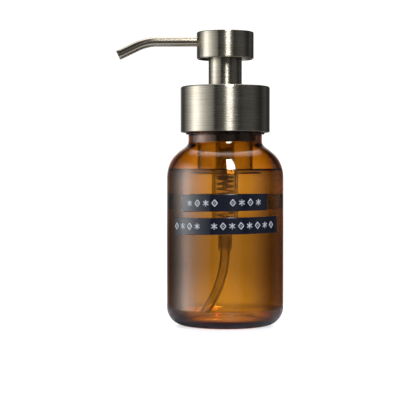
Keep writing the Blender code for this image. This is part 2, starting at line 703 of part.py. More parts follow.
def add_collar_shell(finish, collar):
    hole = CHIMNEY_BORE + 0.05
    outline = [
        (SHELL_INNER, SHELL_BOTTOM),
        (SHELL_OUTER - 0.25, SHELL_BOTTOM),
        (SHELL_OUTER, SHELL_BOTTOM + 0.25),
    ]
    outline += arc((SHELL_OUTER - SHELL_ROUNDING, SHELL_TOP - SHELL_ROUNDING), SHELL_ROUNDING, 0, 90, 4)
    outline += [
        (hole, SHELL_TOP),
        (hole, SHELL_TOP - SHELL_WALL),
        (SHELL_INNER - 0.3, SHELL_TOP - SHELL_WALL),
        (SHELL_INNER, SHELL_TOP - SHELL_WALL - 0.3),
    ]
    place("collar_shell", turned(outline, BIG_STEPS), finish["antique_brass"], collar)


# --------------------------------------------------------------------- plunger
def add_air_piston(finish, plunger):
    outline = [
        (AIR_HUB_BORE, AIR_HUB_BOTTOM),
        (AIR_HUB_OUTER, AIR_HUB_BOTTOM),
        (AIR_HUB_OUTER, WEB_BOTTOM),
        (AIR_SKIRT_INNER, WEB_BOTTOM),
        (AIR_SKIRT_INNER, AIR_PISTON_BOTTOM),
        (AIR_LIP, AIR_PISTON_BOTTOM),
        (AIR_LIP, AIR_PISTON_BOTTOM + AIR_LIP_HEIGHT),
        (AIR_SKIRT_OUTER, AIR_PISTON_BOTTOM + 2 * AIR_LIP_HEIGHT),
        (AIR_SKIRT_OUTER, AIR_PISTON_TOP - 2 * AIR_LIP_HEIGHT),
        (AIR_LIP, AIR_PISTON_TOP - AIR_LIP_HEIGHT),
        (AIR_LIP, AIR_PISTON_TOP),
        (AIR_SKIRT_INNER, AIR_PISTON_TOP),
        (AIR_SKIRT_INNER, WEB_TOP),
        (AIR_HUB_OUTER, WEB_TOP),
        (AIR_HUB_OUTER, AIR_HUB_TOP),
        (AIR_HUB_BORE, AIR_HUB_TOP),
    ]
    piston = place("air_piston", turned(outline, MIDDLE_STEPS), finish["natural_plastic"], plunger)
    ring_radius = (AIR_HUB_OUTER + AIR_SKIRT_INNER) / 2
    holes = []
    for i in range(AIR_HOLE_COUNT):
        angle = math.tau * i / AIR_HOLE_COUNT
        centre = Vector((ring_radius * math.cos(angle), ring_radius * math.sin(angle), 0))
        ends = [centre + Vector((0, 0, z)) for z in (WEB_BOTTOM - 0.5, WEB_TOP + 0.5)]
        holes.append(lofted([ring_round(end, Vector((1, 0, 0)), AIR_HOLE_RADIUS, 8) for end in ends]))
    combine(piston, "air_holes", joined(holes), "DIFFERENCE")


def add_check_disc(finish, plunger):
    top = WEB_BOTTOM - SEAT_GAP
    outline = [
        (AIR_HUB_OUTER + SEAT_GAP, top - CHECK_DISC_THICKNESS),
        (AIR_SKIRT_INNER - 0.6, top - CHECK_DISC_THICKNESS),
        (AIR_SKIRT_INNER - 0.6, top),
        (AIR_HUB_OUTER + SEAT_GAP, top),
    ]
    place("air_check_disc", turned(outline, MIDDLE_STEPS), finish["seal_rubber"], plunger)


# ------------------------------------------------------------------------ head
def add_piston_rod(finish, head):
    cup_bore = CARTRIDGE_RADIUS - CARTRIDGE_WALL
    outline = [
        (ROD_BORE, ROD_BOTTOM),
        (ROD_OUTER, ROD_BOTTOM),
        (ROD_OUTER, ROD_CUP_BOTTOM),
        (CARTRIDGE_RADIUS, ROD_CUP_BOTTOM + 0.6),
        (CARTRIDGE_RADIUS, ROD_TOP),
        (cup_bore, ROD_TOP),
        (cup_bore, ROD_CUP_BOTTOM + ROD_CUP_FLOOR),
        (ROD_BORE, ROD_CUP_BOTTOM + ROD_CUP_FLOOR - 0.6),
    ]
    place("piston_rod", turned(outline, SMALL_STEPS), finish["natural_plastic"], head)


def add_liquid_piston(finish, head):
    lip = LIQUID_BORE - LIP_GAP
    waist = lip - 0.6
    outline = [
        (PISTON_BORE, PISTON_BOTTOM),
        (lip, PISTON_BOTTOM),
        (lip, PISTON_BOTTOM + PISTON_LIP_HEIGHT),
        (waist, PISTON_BOTTOM + PISTON_LIP_HEIGHT + 0.5),
        (waist, PISTON_SHOULDER - PISTON_LIP_HEIGHT - 0.5),
        (lip, PISTON_SHOULDER - PISTON_LIP_HEIGHT),
        (lip, PISTON_SHOULDER),
        (PISTON_NECK, PISTON_SHOULDER),
        (PISTON_NECK, PISTON_TOP),
        (PISTON_BORE + VALVE_SEAT_FLARE, PISTON_TOP),
        (PISTON_BORE, PISTON_TOP - VALVE_SEAT_DEPTH),
    ]
    place("liquid_piston", turned(outline, SMALL_STEPS), finish["natural_plastic"], head)


def add_valve_stem(finish, valve):
    """The outlet valve: a rod through the liquid piston whose cone closes the piston's mouth."""
    slope = VALVE_SEAT_DEPTH / VALVE_SEAT_FLARE
    head_radius = ROD_BORE - VALVE_HEAD_INSET
    cone_low = PISTON_TOP - VALVE_SEAT_DEPTH + LIP_GAP - slope * (PISTON_BORE - VALVE_STEM_RADIUS)
    cone_high = cone_low + slope * (head_radius - VALVE_STEM_RADIUS)
    foot = PISTON_BOTTOM - VALVE_STEM_DROP
    outline = [
        (0, foot),
        (VALVE_STEM_RADIUS - 0.4, foot),
        (VALVE_STEM_RADIUS, foot + 0.6),
        (VALVE_STEM_RADIUS, cone_low),
        (head_radius, cone_high),
        (head_radius, cone_high + VALVE_HEAD_RIM),
        (0, cone_high + VALVE_HEAD_RIM),
    ]
    place("valve_stem", turned(outline, 16), finish["natural_plastic"], valve)


def add_mesh_cartridge(finish, head):
    """The foam maker: a short tube with a net across each end."""
    bore = CARTRIDGE_RADIUS - CARTRIDGE_WALL
    tube = [
        (bore, HOLDER_BOTTOM),
        (CARTRIDGE_RADIUS, HOLDER_BOTTOM),
        (CARTRIDGE_RADIUS, HOLDER_TOP),
        (bore, HOLDER_TOP),
    ]
    place("mesh_holder", turned(tube, SMALL_STEPS), finish["natural_plastic"], head)
    for name, bottom in (("mesh_coarse", COARSE_NET_BOTTOM), ("mesh_fine", FINE_NET_BOTTOM)):
        top = bottom + NET_THICKNESS
        disc = [(0, bottom), (CARTRIDGE_RADIUS, bottom), (CARTRIDGE_RADIUS, top), (0, top)]
        net = place(name, turned(disc, SMALL_STEPS), finish["nylon_net"], head)
        combine(net, name + "_holes", net_holes(bottom - 0.3, top + 0.3), "DIFFERENCE")


def net_holes(bottom, top):
    """A square grid of square pins, which cuts the openings of a net."""
    half = NET_HOLE_SIDE / 2
    first = -NET_HOLE_PITCH * (NET_HOLES_PER_SIDE - 1) / 2
    corners = ((-half, -half), (half, -half), (half, half), (-half, half))
    pins = []
    for i in range(NET_HOLES_PER_SIDE):
        for j in range(NET_HOLES_PER_SIDE):
            x = first + i * NET_HOLE_PITCH
            y = first + j * NET_HOLE_PITCH
            pins.append(lofted([[(x + dx, y + dy, z) for dx, dy in corners] for z in (bottom, top)]))
    return joined(pins)


def add_head_core(finish, head):
    """The plastic inside of the head: a riser from the cartridge and a channel out to the spout."""
    groove_outer = STEM_RADIUS + SEAT_GAP
    groove_inner = STEM_INNER - SEAT_GAP
    groove_top = CORE_BOTTOM + STEM_SOCKET
    outline = [
        (0, CORE_TOP),
        (CORE_RADIUS, CORE_TOP),
        (CORE_RADIUS, CORE_BOTTOM),
        (groove_outer, CORE_BOTTOM),
        (groove_outer, groove_top),
        (groove_inner, groove_top),
        (groove_inner, CORE_BOTTOM),
        (HUB_OUTER, CORE_BOTTOM),
        (HUB_OUTER, HUB_BOTTOM),
        (HUB_BORE, HUB_BOTTOM),
        (HUB_BORE, CARTRIDGE_SHOULDER),
        (RISER_RADIUS, CARTRIDGE_SHOULDER),
        (RISER_RADIUS, SPOUT_HEIGHT + CHANNEL_RADIUS),
        (0, SPOUT_HEIGHT + CHANNEL_RADIUS),
    ]
    core = place("head_core", turned(outline[::-1], MIDDLE_STEPS), finish["black_plastic"], head)
    channel = cylinder_along_x(-0.6, -SOCKET_FACE - 0.5, SPOUT_HEIGHT - 0.1, CHANNEL_RADIUS, 12)
    combine(core, "core_channel", channel, "DIFFERENCE")
    socket = cylinder_along_x(-SOCKET_FACE, -CORE_RADIUS - 2, SPOUT_HEIGHT, SPOUT_SOCKET_RADIUS, 16)
    combine(core, "core_socket", socket, "DIFFERENCE")


def add_head_shell(finish, head):
    edge = HEAD_ROUNDING
    outline = [(0, HEAD_TOP)]
    outline += arc((HEAD_RADIUS - edge, HEAD_TOP - edge), edge, 90, 0, 3)
    outline += [
        (HEAD_RADIUS, HEAD_BOTTOM + 0.4),
        (HEAD_RADIUS - 0.35, HEAD_BOTTOM),
        (HEAD_INNER, HEAD_BOTTOM),
        (HEAD_INNER, HEAD_TOP - HEAD_WALL),
        (0, HEAD_TOP - HEAD_WALL),
    ]
    shell = place("head_shell", turned(outline, MIDDLE_STEPS), finish["antique_brass"], head)
    hole = cylinder_along_x(-HEAD_INNER + 2, -HEAD_RADIUS - 2, SPOUT_HEIGHT, SPOUT_SOCKET_RADIUS, 16)
    combine(shell, "shell_hole", hole, "DIFFERENCE")


def add_stem_sleeve(finish, head):
    outline = [
        (STEM_INNER, STEM_BOTTOM),
        (STEM_RADIUS, STEM_BOTTOM),
        (STEM_RADIUS, STEM_TOP),
        (STEM_INNER, STEM_TOP),
    ]
    place("stem_sleeve", turned(outline, MIDDLE_STEPS), finish["antique_brass"], head)


def spout_stations():
    """Centres and side vectors from the socket, along -X, round the bend and down to the tip."""
    bend = math.radians(SPOUT_BEND_ANGLE)
    tip_run = SPOUT_BEND_RADIUS * math.sin(bend) + SPOUT_TIP_LENGTH * math.cos(bend)
    bend_start = SPOUT_REACH - tip_run
    stations = [(Vector((-SPOUT_ROOT, 0, SPOUT_HEIGHT)), Vector((0, 0, 1)))]
    steps = 8
    for i in range(steps + 1):
        turn = bend * i / steps
        x = -bend_start - SPOUT_BEND_RADIUS * math.sin(turn)
        z = SPOUT_HEIGHT - SPOUT_BEND_RADIUS * (1 - math.cos(turn))
        stations.append((Vector((x, 0, z)), Vector((-math.sin(turn), 0, math.cos(turn)))))
    end, side = stations[-1]
    along = Vector((-math.cos(bend), 0, -math.sin(bend)))
    stations.append((end + SPOUT_TIP_LENGTH * along, side))
    return stations


def add_spout(finish, head):
    bore = SPOUT_RADIUS - SPOUT_WALL
    tube = piped(spout_stations(), SPOUT_RADIUS, bore, 16)
    place("spout_tube", tube, finish["antique_brass"], head, smooth_angle=45)
    ends = (SEAL_FACE, SEAL_FACE + SEAL_THICKNESS)
    faces = [(Vector((-x, 0, SPOUT_HEIGHT)), Vector((0, 0, 1))) for x in ends]
    place("spout_seal", piped(faces, SPOUT_RADIUS, bore, 16), finish["seal_rubber"], head)


# ------------------------------------------------------------------------ main
def clear_scene():
    for old in list(bpy.data.objects):
        bpy.data.objects.remove(old, do_unlink=True)


def main():
    clear_scene()
    finish = make_materials()

    gasket_group = empty("lift_out_axis", RIM)
    unit = empty("pump_unit_axis", RIM, gasket_group)
    collar = empty("collar_axis", CLOSURE_BOTTOM, unit)
    plunger = empty("plunger_axis", AIR_PISTON_BOTTOM, unit)
    head = empty("head_axis", HEAD_BOTTOM, plunger)
    valve = empty("valve_axis", PISTON_TOP, head)
    ball_group = empty("ball_axis", BALL_HEIGHT, unit)

    add_bottle(finish)
    add_label_tapes(finish)
    add_neck_gasket(finish, gasket_group)
    add_pump_housing(finish, unit)
    add_neck_plug(finish, unit)
    add_dip_tube(finish, unit)
    add_ball_cage(finish, unit)
    add_inlet_ball(finish, ball_group)
    add_return_spring(finish, unit)
    add_closure(finish, collar)
    add_collar_shell(finish, collar)
    add_air_piston(finish, plunger)
    add_check_disc(finish, plunger)
    add_piston_rod(finish, head)
    add_liquid_piston(finish, head)
    add_valve_stem(finish, valve)
    add_mesh_cartridge(finish, head)
    add_head_core(finish, head)
    add_head_shell(finish, head)
    add_stem_sleeve(finish, head)
    add_spout(finish, head)


main()
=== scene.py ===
"""The looks of the foaming soap pump dispenser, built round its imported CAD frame."""

import math

import bmesh
import bpy
import numpy as np
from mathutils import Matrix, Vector


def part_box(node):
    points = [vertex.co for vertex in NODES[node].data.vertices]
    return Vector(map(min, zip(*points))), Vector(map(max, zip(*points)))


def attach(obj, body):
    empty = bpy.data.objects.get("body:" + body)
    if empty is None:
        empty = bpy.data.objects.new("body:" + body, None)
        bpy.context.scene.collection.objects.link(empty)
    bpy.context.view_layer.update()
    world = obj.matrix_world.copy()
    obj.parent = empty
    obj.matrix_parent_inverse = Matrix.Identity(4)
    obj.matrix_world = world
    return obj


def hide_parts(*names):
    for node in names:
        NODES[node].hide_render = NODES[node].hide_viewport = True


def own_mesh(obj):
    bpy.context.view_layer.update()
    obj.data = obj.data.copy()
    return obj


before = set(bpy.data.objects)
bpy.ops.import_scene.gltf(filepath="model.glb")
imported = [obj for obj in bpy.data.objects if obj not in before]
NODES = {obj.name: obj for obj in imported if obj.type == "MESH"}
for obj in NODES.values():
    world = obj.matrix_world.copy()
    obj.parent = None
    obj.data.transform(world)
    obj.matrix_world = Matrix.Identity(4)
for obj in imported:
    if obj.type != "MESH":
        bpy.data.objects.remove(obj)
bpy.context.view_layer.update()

MM = 0.001  # the sizes below are in millimetres, and angles in degrees
ALONG_Y = Vector((0, 1, 0))
ALONG_Z = Vector((0, 0, 1))


def box_mm(node):
    """A CAD node's lowest and highest corners, in millimetres."""
    low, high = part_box(node)
    return [v / MM for v in low], [v / MM for v in high]


BODY_RADIUS = box_mm("bottle")[1][0]
RIM = box_mm("bottle")[1][2]
HEAD_SIDE = box_mm("head_shell")[0][0]
CAP_LOW, CAP_HIGH = box_mm("closure_cap")
SPRING_LOW, SPRING_HIGH = box_mm("return_spring")
SPOUT_LOW, SPOUT_HIGH = box_mm("spout_tube")

# ---------------------------------------------------------------- camera, room
CAMERA_DISTANCE = 717.0  # from the pump's axis
EYE_HEIGHT = 85.6
LENS = 115.7
YAW = 1.12  # degrees to the left, which puts the bottle right of the middle
PITCH = -1.29
FLOOR_RADIUS = 400.0
FLOOR_FADE = (70.0, 150.0)  # where the table top starts to melt into the white room, and ends

# ------------------------------------------------------------------ the bottle
BODY_WALL = 2.6
FLOOR_THICKNESS = 5.0
HEEL_RADIUS = 10.0
PUSH_UP = 1.7
FOOT_RADIUS = 21.0
SHOULDER_START = 81.5
SHOULDER_HEIGHT = 20.5
NECK_RADIUS = 20.55
FINISH_RADIUS = 19.8
BEAD_RADIUS = 22.0
BEAD_BOTTOM = 105.7
BEAD_TOP = 107.0
NECK_BORE = 17.4
THREAD_PITCH = 4.23
THREAD_DEPTH = 1.2
THREAD_TURNS = 1.5
THREAD_TOP_INSET = 2.9
THREAD_BOTTOM = RIM - THREAD_TOP_INSET - THREAD_TURNS * THREAD_PITCH
THREAD_RUN_IN = 0.09  # of a turn, over which the ridge fades at each end
LIP_RADIUS = 0.5
SOAP_LEVEL = 86.6
SOAP_MENISCUS = 1.6

# ---------------------------------------------------------------------- facets
FINE = 160
INNER = 72
TUBE_SIDES = 36
DIP_TUBE_SIDES = 28
WIRE_SIDES = 12
LONG_RUN = 2.5  # a straight run longer than this gets points near its ends
SUPPORT_INSET = 0.5

# ------------------------------------------------------------- tapes and marks
TAPE_WIDTH = 9.0
TAPE_INNER = BODY_RADIUS - 0.03  # glued on, with no air between
TAPE_OUTER = BODY_RADIUS + 0.55
UPPER_MARKS = ("star", "diamond") * 2 + (None,) + ("diamond", "star") * 2
LOWER_MARKS = ("diamond", "star") * 2 + (None,) + ("star", "diamond") * 4
TAPES = (  # name, span in degrees from the front, slope in degrees, marks, and where they start and step
    ("label_tape_upper", (-45.0, 43.0), 1.0, UPPER_MARKS, -21.8, 4.9),
    ("label_tape_lower", (-56.0, 58.0), 1.0, LOWER_MARKS, -31.6, 4.85),
    ("label_tape_back", (136.0, 224.0), 0.0, (), 0.0, 0.0),
)
MARK_HEIGHT = 3.5
MARK_WIDTH = 2.9
MARK_STROKE = 0.6
MARK_RAISE = 0.22
MARK_STROKES = {  # from and to, in a unit square
    "diamond": (
        (0, 0.5, 0.5, 1), (0.5, 1, 1, 0.5), (1, 0.5, 0.5, 0), (0.5, 0, 0, 0.5), (0.5, 0.46, 0.5, 0.54)
    ),
    "star": ((0.5, 0.05, 0.5, 0.95), (0.02, 0.25, 0.98, 0.75), (0.02, 0.75, 0.98, 0.25)),
}

# --------------------------------------------------------- spout, tube, spring
SPOUT_BEND_RADIUS = 26.0
SPOUT_BEND_ANGLE = 25.5
SPOUT_TIP_LENGTH = 11.6
SPOUT_REACH = 59.6
SPOUT_WALL = 0.8
DIP_TUBE_RADIUS = 2.0
DIP_TUBE_BORE = 1.3
DIP_TUBE_TOP = 50.2
DIP_TUBE_BOTTOM = 7.5
DIP_TUBE_REACH = 8.3
STUB_BOTTOM = 42.0  # where the tube leaves the housing and is free to curl
SPRING_WIRE = 0.4
SPRING_LENGTH = 24.2
SPRING_ACTIVE_TURNS = 7.5
SPRING_CLOSED_PITCH = 0.9


# ------------------------------------------------------------------ mesh tools
def new_piece(name, verts, faces, smooth_angle=30.0):
    """An object from points in millimetres."""
    mesh = bpy.data.meshes.new(name)
    mesh.from_pydata([tuple(c * MM for c in v) for v in verts], [], faces)
    work = bmesh.new()
    work.from_mesh(mesh)
    bmesh.ops.remove_doubles(work, verts=work.verts, dist=1e-7)
    bmesh.ops.recalc_face_normals(work, faces=work.faces)
    work.to_mesh(mesh)
    work.free()
    mesh.shade_smooth()
    mesh.set_sharp_from_angle(angle=math.radians(smooth_angle))
    made = bpy.data.objects.new(name, mesh)
    bpy.context.scene.collection.objects.link(made)
    return made


def arc(centre, radius, start, end, steps):
    angles = [math.radians(start + (end - start) * i / steps) for i in range(steps + 1)]
    return [(centre[0] + radius * math.cos(a), centre[1] + radius * math.sin(a)) for a in angles]


def bezier(p0, p1, p2, p3, steps):
    points = []
    for i in range(steps + 1):
        t = i / steps
        weights = ((1 - t) ** 3, 3 * t * (1 - t) ** 2, 3 * t * t * (1 - t), t**3)
        points.append(tuple(sum(w * p[k] for w, p in zip(weights, (p0, p1, p2, p3))) for k in (0, 1)))
    return points


def rounded(outline, radius, closed, steps=3):
    """The outline with each corner sharper than 20 degrees turned into a small arc."""
    count = len(outline)
    points = []
    for i, corner in enumerate(outline):
        if not closed and i in (0, count - 1):
            points.append(corner)
            continue
        here = np.array(corner)
        back = np.array(outline[i - 1]) - here
        ahead = np.array(outline[(i + 1) % count]) - here
        back_length = np.linalg.norm(back)
        ahead_length = np.linalg.norm(ahead)
        back = back / back_length
        ahead = ahead / ahead_length
        opening = math.acos(max(-1.0, min(1.0, float(np.dot(back, ahead)))))
        if math.degrees(opening) > 160:
            points.append(corner)
            continue
        reach = min(radius / math.tan(opening / 2), 0.45 * back_length, 0.45 * ahead_length)
        start = here + back * reach
        end = here + ahead * reach
        for k in range(steps + 1):
            t = k / steps
            point = (1 - t) ** 2 * start + 2 * t * (1 - t) * here + t * t * end
            points.append((float(point[0]), float(point[1])))
    return points


def supported(outline):
    """Adds points near both ends of each long straight run, so that its shading stays flat."""
    closed = outline[0][0] > 1e-6 and outline[-1][0] > 1e-6
    ends = outline[1:] + outline[:1] if closed else outline[1:]
    points = []
    for start, end in zip(outline, ends):
        points.append(start)
        length = math.dist(start, end)
        if length > LONG_RUN:
            for share in (SUPPORT_INSET / length, 1 - SUPPORT_INSET / length):
                points.append(tuple(a + (b - a) * share for a, b in zip(start, end)))
    return points if closed else points + [outline[-1]]


def turned(name, outline, steps, swell=None, smooth_angle=30.0):
    """A solid of revolution. swell(angle, radius, height) may add to the radius at any point."""
    outline = supported(outline)
    verts = []
    rings = []
    for radius, height in outline:
        if radius < 1e-6:
            rings.append([len(verts)])
            verts.append((0.0, 0.0, height))
            continue
        rings.append(list(range(len(verts), len(verts) + steps)))
        for k in range(steps):
            angle = math.tau * k / steps
            r = radius + (swell(angle, radius, height) if swell else 0.0)
            verts.append((r * math.cos(angle), r * math.sin(angle), height))
    pairs = list(zip(rings, rings[1:]))
    if outline[0][0] > 1e-6 and outline[-1][0] > 1e-6:
        pairs.append((rings[-1], rings[0]))
    faces = []
    for low, high in pairs:
        for k in range(steps):
            j = (k + 1) % steps
            quad = [low[k % len(low)], low[j % len(low)], high[j % len(high)], high[k % len(high)]]
            face = [v for n, v in enumerate(quad) if v not in quad[:n]]
            if len(face) > 2:
                faces.append(face)
    return new_piece(name, verts, faces, smooth_angle)


def profile_of(node):
    """The (radius, height) outline of a turned CAD node, read where it crosses the +X half-plane."""
    mesh = NODES[node].data
    matrix = NODES[node].matrix_world
    points = [matrix @ v.co / MM for v in mesh.vertices]
    keys = [(round(p.x, 2), round(p.z, 2)) if abs(p.y) < 0.003 and p.x > -0.003 else None for p in points]
    links = {}
    for edge in mesh.edges:
        a, b = (keys[i] for i in edge.vertices)
        if a is not None and b is not None and a != b:
            links.setdefault(a, set()).add(b)
            links.setdefault(b, set()).add(a)
    ends = [k for k in links if len(links[k]) == 1]
    here = max(ends, key=lambda k: k[1]) if ends else max(links)
    path = [here]
    while True:
        ahead = sorted(k for k in links[path[-1]] if k not in path)
        if not ahead:
            return path, not ends
        path.append(ahead[0])


def fine_copy(node, body, finish, rounding, steps=INNER):
    """A finely turned copy of a turned CAD node, with its corners softened."""
    outline, closed = profile_of(node)
    piece = turned(node + "_fine", rounded(outline, rounding, closed), steps)
    return dress(piece, body, finish, node)


def dress(piece, body, finish, *nodes, slot=None):
    """Rides the piece on its body, gives it its finish and hides the CAD nodes that it stands for."""
    piece.data.materials.clear()
    piece.data.materials.append(finish)
    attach(piece, body)
    if nodes:
        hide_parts(*nodes)
    return piece


def skinned(name, rings, smooth_angle=40.0, looped=False):
    """A skin through rings of points. A looped one joins its last ring to its first, others are capped."""
    count = len(rings[0])
    verts = [tuple(p) for ring in rings for p in ring]
    faces = []
    for i in range(len(rings) if looped else len(rings) - 1):
        low = i * count
        high = (i + 1) % len(rings) * count
        for k in range(count):
            j = (k + 1) % count
            faces.append((low + k, low + j, high + j, high + k))
    if not looped:
        faces.append(tuple(range(count)))
        faces.append(tuple(range(len(verts) - count, len(verts))))
    return new_piece(name, verts, faces, smooth_angle)


def circle(centre, side, up, radius, steps):
    turns = [math.tau * k / steps for k in range(steps)]
    return [centre + radius * (math.cos(a) * side + math.sin(a) * up) for a in turns]


# ------------------------------------------------------------------- materials
class Nodes:
    """A node tree and short ways to add to it."""

    def __init__(self, tree):
        self.tree = tree

    def node(self, kind, **settings):
        made = self.tree.nodes.new(kind)
        for key, value in settings.items():
            setattr(made, key, value)
        return made

    def link(self, source, target):
        self.tree.links.new(source, target)

    def span(self, source, from_range=(0.0, 1.0), to_range=(0.0, 1.0), **settings):
        """A value carried over from one range to another."""
        made = self.node("ShaderNodeMapRange", **settings)
        for word, ends in (("From", from_range), ("To", to_range)):
            made.inputs[word + " Min"].default_value = ends[0]
            made.inputs[word + " Max"].default_value = ends[1]
        self.link(source, made.inputs["Value"])
        return made.outputs["Result"]

    def ramp(self, factor, *stops):
        """A colour ramp of (position, colour or grey) stops, in rising order."""
        made = self.node("ShaderNodeValToRGB")
        elements = made.color_ramp.elements
        colours = [(p, (*v, 1.0) if isinstance(v, tuple) else (v, v, v, 1.0)) for p, v in stops]
        elements[0].position, elements[0].color = colours[0]
        elements[1].position, elements[1].color = colours[-1]
        for position, colour in colours[1:-1]:
            elements.new(position).color = colour
        self.link(factor, made.inputs["Fac"])
        return made.outputs["Color"]

    def mixed(self, factor, low, high, blend="MIX"):
        """Two colours or sockets, mixed by a factor."""
        made = self.node("ShaderNodeMix", data_type="RGBA", blend_type=blend)
        for value, socket in ((factor, made.inputs[0]), (low, made.inputs[6]), (high, made.inputs[7])):
            if isinstance(value, (tuple, float, int)):
                socket.default_value = (*value, 1.0) if isinstance(value, tuple) else value
            else:
                self.link(value, socket)
        return made.outputs[2]


class Finish(Nodes):
    """A Principled material and short ways to add the nodes that vary it."""

    def __init__(self, name, colour, roughness, **constants):
        self.material = bpy.data.materials.new(name)
        self.material.use_nodes = True
        self.material.diffuse_color = (*colour, 1.0)
        super().__init__(self.material.node_tree)
        self.shader = self.tree.nodes["Principled BSDF"]
        self.shader.inputs["Base Color"].default_value = (*colour, 1.0)
        self.shader.inputs["Roughness"].default_value = roughness
        for key, value in constants.items():
            self.shader.inputs[key.replace("_", " ")].default_value = value

    def place(self, scale=(1, 1, 1)):
        """Object coordinates in millimetres, stretched by a scale."""
        coordinates = self.node("ShaderNodeTexCoord")
        mapping = self.node("ShaderNodeMapping")
        mapping.inputs["Scale"].default_value = [s / MM for s in scale]
        self.link(coordinates.outputs["Object"], mapping.inputs["Vector"])
        return mapping.outputs["Vector"]

    def noise(self, scale, detail=3.0, stretch=(1, 1, 1), roughness=0.55):
        """Noise whose features are about 1/scale millimetres across."""
        made = self.node("ShaderNodeTexNoise")
        made.inputs["Scale"].default_value = scale
        made.inputs["Detail"].default_value = detail
        made.inputs["Roughness"].default_value = roughness
        self.link(self.place(stretch), made.inputs["Vector"])
        return made.outputs["Fac"]

    def colour(self, socket):
        self.link(socket, self.shader.inputs["Base Color"])

    def rough(self, socket, low, high):
        self.link(self.span(socket, to_range=(low, high)), self.shader.inputs["Roughness"])

    def bump(self, socket, strength, distance_mm):
        bump = self.node("ShaderNodeBump")
        bump.inputs["Strength"].default_value = strength
        bump.inputs["Distance"].default_value = distance_mm * MM
        self.link(socket, bump.inputs["Height"])
        self.link(bump.outputs["Normal"], self.shader.inputs["Normal"])


def brushed_brass():
    """Darkened brass, turned on a lathe, with fine brush lines round it."""
    finish = Finish(
        "brass_turned", (0.34, 0.31, 0.26), 0.27, Metallic=1.0, Anisotropic=0.92, Anisotropic_Rotation=0.25
    )
    lines = finish.noise(1.0, detail=4.0, stretch=(0.04, 0.04, 3.0), roughness=0.75)
    tarnish = finish.noise(0.09, detail=4.0)
    tone = finish.ramp(tarnish, (0.3, (0.325, 0.300, 0.240)), (0.7, (0.365, 0.345, 0.295)))
    streaks = finish.ramp(lines, (0.3, 0.62), (0.7, 1.0))
    finish.colour(finish.mixed(1.0, tone, streaks, "MULTIPLY"))
    finish.rough(lines, 0.18, 0.34)
    finish.bump(lines, 0.08, 0.01)
    tangent = finish.node("ShaderNodeTangent", direction_type="RADIAL", axis="Z")
    finish.link(tangent.outputs["Tangent"], finish.shader.inputs["Tangent"])
    return finish.material


def satin_brass():
    """The same brass drawn as a tube, smoother than the turned pieces."""
    finish = Finish("brass_drawn", (0.36, 0.32, 0.26), 0.17, Metallic=1.0)
    drawn = finish.noise(0.08, detail=2.0)
    finish.colour(finish.ramp(drawn, (0.3, (0.34, 0.30, 0.24)), (0.7, (0.39, 0.36, 0.30))))
    return finish.material


def amber_glass():
    """Clear glass whose body drinks up blue and some green, so that it darkens where it is thick."""
    finish = Finish("amber_glass_fine", (1.0, 1.0, 1.0), 0.0, IOR=1.5, Transmission_Weight=1.0)
    waves = finish.noise(0.06, detail=1.0)
    finish.colour(finish.ramp(waves, (0.3, (0.96, 0.93, 0.88)), (0.7, (1.0, 0.98, 0.95))))
    finish.bump(waves, 0.05, 0.15)
    drink = finish.node("ShaderNodeVolumeAbsorption")
    drink.inputs["Color"].default_value = (0.861, 0.645, 0.013, 1.0)
    drink.inputs["Density"].default_value = 780.0
    output = finish.tree.nodes["Material Output"]
    finish.link(drink.outputs["Volume"], output.inputs["Volume"])
    return finish.material


def soap():
    finish = Finish("soap_clear", (0.97, 0.94, 0.86), 0.0, IOR=1.34, Transmission_Weight=1.0)
    cloud = finish.noise(0.05, detail=1.0)
    finish.colour(finish.ramp(cloud, (0.3, (0.95, 0.92, 0.83)), (0.7, (0.98, 0.96, 0.90))))
    return finish.material


def embossing_tape():
    finish = Finish("label_tape_fine", (0.003, 0.004, 0.009), 0.10)
    grain = finish.noise(1.6, detail=3.0)
    finish.colour(finish.ramp(grain, (0.3, (0.002, 0.003, 0.007)), (0.7, (0.005, 0.006, 0.013))))
    finish.rough(grain, 0.07, 0.14)
    finish.bump(grain, 0.03, 0.02)
    return finish.material


def glued_side():
    """The tape's back, where the glue leaves no air and so no gloss."""
    finish = Finish("label_tape_glued", (0.004, 0.004, 0.006), 0.9, Specular_IOR_Level=0.0)
    grain = finish.noise(1.6, detail=2.0)
    finish.colour(finish.ramp(grain, (0.3, (0.003, 0.003, 0.005)), (0.7, (0.006, 0.006, 0.008))))
    return finish.material


def stretched_plastic():
    """The pale crests where embossing has stretched the tape."""
    finish = Finish("stretched_tape", (0.62, 0.63, 0.66), 0.5)
    grain = finish.noise(3.0, detail=4.0)
    finish.colour(finish.ramp(grain, (0.3, (0.14, 0.15, 0.18)), (0.65, (0.34, 0.36, 0.40))))
    finish.bump(grain, 0.3, 0.03)
    return finish.material


def natural_plastic():
    finish = Finish(
        "natural_plastic_fine", (0.86, 0.84, 0.78), 0.10, IOR=1.18, Transmission_Weight=0.93
    )
    flow = finish.noise(0.25, detail=2.0)
    finish.colour(finish.ramp(flow, (0.3, (0.82, 0.79, 0.72)), (0.7, (0.90, 0.88, 0.82))))
    finish.rough(flow, 0.06, 0.14)
    return finish.material


def black_plastic():
    finish = Finish("black_plastic_fine", (0.012, 0.012, 0.013), 0.38, Specular_IOR_Level=0.25)
    grain = finish.noise(2.5, detail=3.0)
    finish.colour(finish.ramp(grain, (0.3, (0.010, 0.010, 0.011)), (0.7, (0.017, 0.017, 0.018))))
    finish.rough(grain, 0.32, 0.46)
    finish.bump(grain, 0.15, 0.02)
    return finish.material


def seal_rubber():
    finish = Finish("seal_rubber_fine", (0.50, 0.49, 0.45), 0.6)
    grain = finish.noise(1.5, detail=4.0)
    finish.colour(finish.ramp(grain, (0.3, (0.45, 0.44, 0.40)), (0.7, (0.56, 0.55, 0.51))))
    finish.bump(grain, 0.2, 0.02)
    return finish.material


